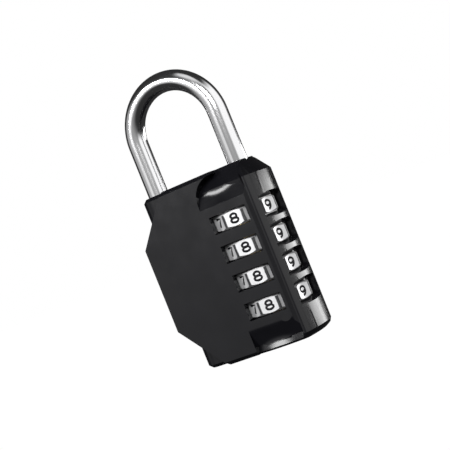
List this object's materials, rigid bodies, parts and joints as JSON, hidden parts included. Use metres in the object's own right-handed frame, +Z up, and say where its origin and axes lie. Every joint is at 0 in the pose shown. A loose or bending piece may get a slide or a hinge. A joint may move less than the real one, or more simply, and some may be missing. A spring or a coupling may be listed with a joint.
{
  "type": "combination padlock",
  "caption": "Combination padlock with a two-part cast body, a lifting round-bar shackle, numbered dials read at the front and the side, and a finned spindle inside.",
  "frame": {"origin": "middle of the body's underside", "axes": "+Z up the shackle legs, -Y is the front with the dial windows, +X is the side with the dial notches"},
  "size_m": [0.0396, 0.02, 0.0849],
  "materials": {
    "black_casting": "satin to gloss black paint on die-cast zinc",
    "shackle_chrome": "bright chrome plate on hardened steel",
    "dial_metal": "polished nickel plate with black numerals",
    "steel": "bright turned or drawn steel",
    "plated_steel": "yellow zinc-plated stamped steel",
    "brass": "turned brass"
  },
  "bodies": {
    "case": {"front_shell": "black_casting", "rear_shell": "black_casting", "assembly_pins": "steel", "spindle_bush": "brass", "reset_spring": "steel", "spring_washer": "steel", "detent_comb": "plated_steel", "shackle_spring": "steel"},
    "shackle": {"shackle": "shackle_chrome", "lift_plate": "plated_steel", "spindle": "steel", "spindle_clip": "plated_steel"},
    "dial_1": {"dial_1": "dial_metal", "sleeve_1": "brass"},
    "dial_2": {"dial_2": "dial_metal", "sleeve_2": "brass"},
    "dial_3": {"dial_3": "dial_metal", "sleeve_3": "brass"},
    "dial_4": {"dial_4": "dial_metal", "sleeve_4": "brass"}
  },
  "joints": [
    {"name": "shackle_lift", "type": "slide", "parent": "case", "child": "shackle", "axis": [0, 0, 1], "range_m": [0, 0.0065], "deforming": ["shackle_spring"]},
    {"name": "dial_1_turn", "type": "hinge", "parent": "case", "child": "dial_1", "pos_m": [0.00945, 0, 0.03813], "axis": [0, 0, 1], "continuous": true},
    {"name": "dial_2_turn", "type": "hinge", "parent": "case", "child": "dial_2", "pos_m": [0.00945, 0, 0.0295], "axis": [0, 0, 1], "continuous": true},
    {"name": "dial_3_turn", "type": "hinge", "parent": "case", "child": "dial_3", "pos_m": [0.00945, 0, 0.02087], "axis": [0, 0, 1], "continuous": true},
    {"name": "dial_4_turn", "type": "hinge", "parent": "case", "child": "dial_4", "pos_m": [0.00945, 0, 0.01224], "axis": [0, 0, 1], "continuous": true}
  ]
}
